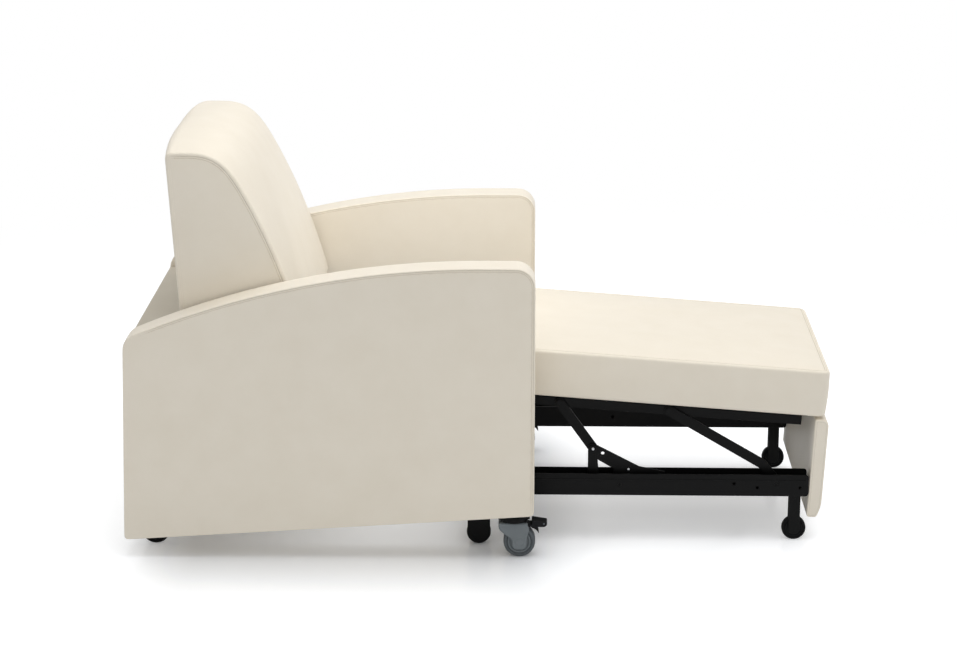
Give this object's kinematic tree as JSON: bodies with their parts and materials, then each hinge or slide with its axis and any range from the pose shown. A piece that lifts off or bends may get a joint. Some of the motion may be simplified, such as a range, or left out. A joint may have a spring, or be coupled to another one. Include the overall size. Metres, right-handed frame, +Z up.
{
  "type": "convertible chair bed",
  "caption": "Upholstered armchair whose seat slides out on a wheeled steel carriage and lifts on side links, with a hinged back and braked casters.",
  "frame": {"origin": "centre of the bounding box's foot, on the floor", "axes": "+X the way the sitter faces and the carriage slides out, +Y the sitter's left, +Z up"},
  "size_m": [1.5536, 0.8, 0.8919],
  "materials": {
    "vinyl": "satin coated fabric",
    "frame_black": "satin powder coat",
    "hood_grey": "fine matt",
    "nylon_black": "matt",
    "tread_grey": "matt",
    "tread_black": "matt",
    "board": "covered underside"
  },
  "bodies": {
    "chair_frame": {"arm_right": "vinyl", "arm_left": "vinyl", "rear_panel": "vinyl", "lower_cross_tube": "frame_black", "upper_cross_tube": "frame_black", "guide_channel_right": "frame_black", "guide_channel_left": "frame_black", "caster_mount_right": "frame_black", "caster_mount_left": "frame_black", "back_pivot_socket_right": "frame_black", "back_pivot_socket_left": "frame_black", "rear_fork_right": "frame_black", "rear_fork_left": "frame_black"},
    "rear_wheel_right": {"rear_wheel_right": "tread_black"},
    "rear_wheel_left": {"rear_wheel_left": "tread_black"},
    "caster_right": {"caster_hood_right": "hood_grey"},
    "caster_left": {"caster_hood_left": "hood_grey"},
    "caster_wheel_right": {"caster_wheel_right": "tread_grey"},
    "caster_wheel_left": {"caster_wheel_left": "tread_grey"},
    "brake_right": {"brake_pedal_right": "nylon_black", "brake_hook_right": "nylon_black"},
    "brake_left": {"brake_pedal_left": "nylon_black", "brake_hook_left": "nylon_black"},
    "carriage": {"carriage_cross_tube": "frame_black", "fascia_board": "vinyl", "carriage_rail_right": "frame_black", "carriage_rail_left": "frame_black", "pivot_bracket_right": "frame_black", "pivot_bracket_left": "frame_black", "front_leg_right": "frame_black", "front_leg_left": "frame_black", "rear_leg_right": "frame_black", "rear_leg_left": "frame_black"},
    "front_wheel_right": {"front_wheel_right": "tread_black"},
    "front_wheel_left": {"front_wheel_left": "tread_black"},
    "carriage_rear_wheel_right": {"carriage_rear_wheel_right": "tread_black"},
    "carriage_rear_wheel_left": {"carriage_rear_wheel_left": "tread_black"},
    "guide_roller_right": {"guide_roller_right": "nylon_black"},
    "guide_roller_left": {"guide_roller_left": "nylon_black"},
    "rear_links": {"rear_link_right": "frame_black", "rear_link_left": "frame_black"},
    "front_links": {"front_link_right": "frame_black", "front_link_left": "frame_black"},
    "seat": {"seat_cushion": "vinyl", "seat_board": "board", "seat_cross_tube_rear": "frame_black", "seat_cross_tube_front": "frame_black", "seat_rail_right": "frame_black", "seat_rail_left": "frame_black"},
    "back": {"back_cushion": "vinyl", "hinge_plate_right": "frame_black", "hinge_plate_left": "frame_black"}
  },
  "joints": [
    {"name": "carriage_slide", "type": "slide", "parent": "chair_frame", "child": "carriage", "axis": [1, 0, 0], "range_m": [-0.65, 0]},
    {"name": "seat_lift", "type": "hinge", "parent": "carriage", "child": "rear_links", "pos_m": [0.25624, 0, 0.211], "axis": [0, 1, 0], "range_deg": [0, 12]},
    {"name": "seat_tilt", "type": "hinge", "parent": "rear_links", "child": "seat", "pos_m": [0.18124, 0, 0.316], "axis": [0, 1, 0], "range_deg": [-16.3, 0]},
    {"name": "front_link_swing", "type": "hinge", "parent": "carriage", "child": "front_links", "pos_m": [0.66524, 0, 0.138], "axis": [0, 1, 0], "range_deg": [0, 8]},
    {"name": "back_recline", "type": "hinge", "parent": "chair_frame", "child": "back", "pos_m": [-0.56476, 0, 0.5], "axis": [0, -1, 0], "range_deg": [0, 30]},
    {"name": "caster_swivel_right", "type": "hinge", "parent": "chair_frame", "child": "caster_right", "pos_m": [0.08124, -0.362, 0.08], "axis": [0, 0, 1], "continuous": true},
    {"name": "caster_swivel_left", "type": "hinge", "parent": "chair_frame", "child": "caster_left", "pos_m": [0.08124, 0.362, 0.08], "axis": [0, 0, 1], "continuous": true},
    {"name": "caster_spin_right", "type": "hinge", "parent": "caster_right", "child": "caster_wheel_right", "pos_m": [0.09324, -0.362, 0.035], "axis": [0, 1, 0], "continuous": true},
    {"name": "caster_spin_left", "type": "hinge", "parent": "caster_left", "child": "caster_wheel_left", "pos_m": [0.09324, 0.362, 0.035], "axis": [0, 1, 0], "continuous": true},
    {"name": "brake_pedal_lift_right", "type": "hinge", "parent": "caster_right", "child": "brake_right", "pos_m": [0.10724, -0.362, 0.075], "axis": [0, 1, 0], "range_deg": [-12, 0]},
    {"name": "brake_pedal_lift_left", "type": "hinge", "parent": "caster_left", "child": "brake_left", "pos_m": [0.10724, 0.362, 0.075], "axis": [0, 1, 0], "range_deg": [-12, 0]},
    {"name": "rear_wheel_spin_right", "type": "hinge", "parent": "chair_frame", "child": "rear_wheel_right", "pos_m": [-0.72076, -0.3, 0.032], "axis": [0, 1, 0], "continuous": true},
    {"name": "rear_wheel_spin_left", "type": "hinge", "parent": "chair_frame", "child": "rear_wheel_left", "pos_m": [-0.72076, 0.3, 0.032], "axis": [0, 1, 0], "continuous": true},
    {"name": "front_wheel_spin_right", "type": "hinge", "parent": "carriage", "child": "front_wheel_right", "pos_m": [0.70926, -0.247, 0.027], "axis": [0, 1, 0], "continuous": true},
    {"name": "front_wheel_spin_left", "type": "hinge", "parent": "carriage", "child": "front_wheel_left", "pos_m": [0.70926, 0.247, 0.027], "axis": [0, 1, 0], "continuous": true},
    {"name": "carriage_wheel_spin_right", "type": "hinge", "parent": "carriage", "child": "carriage_rear_wheel_right", "pos_m": [0.00224, -0.287, 0.027], "axis": [0, 1, 0], "continuous": true},
    {"name": "carriage_wheel_spin_left", "type": "hinge", "parent": "carriage", "child": "carriage_rear_wheel_left", "pos_m": [0.00224, 0.287, 0.027], "axis": [0, 1, 0], "continuous": true},
    {"name": "guide_roller_spin_right", "type": "hinge", "parent": "carriage", "child": "guide_roller_right", "pos_m": [0.00224, -0.3097, 0.14], "axis": [0, 1, 0], "continuous": true},
    {"name": "guide_roller_spin_left", "type": "hinge", "parent": "carriage", "child": "guide_roller_left", "pos_m": [0.00224, 0.3097, 0.14], "axis": [0, 1, 0], "continuous": true}
  ],
  "couplings": [
    {"joint": "seat_tilt", "follows": "seat_lift", "ratio": -1.3563},
    {"joint": "front_link_swing", "follows": "seat_lift", "ratio": 0.66361}
  ]
}
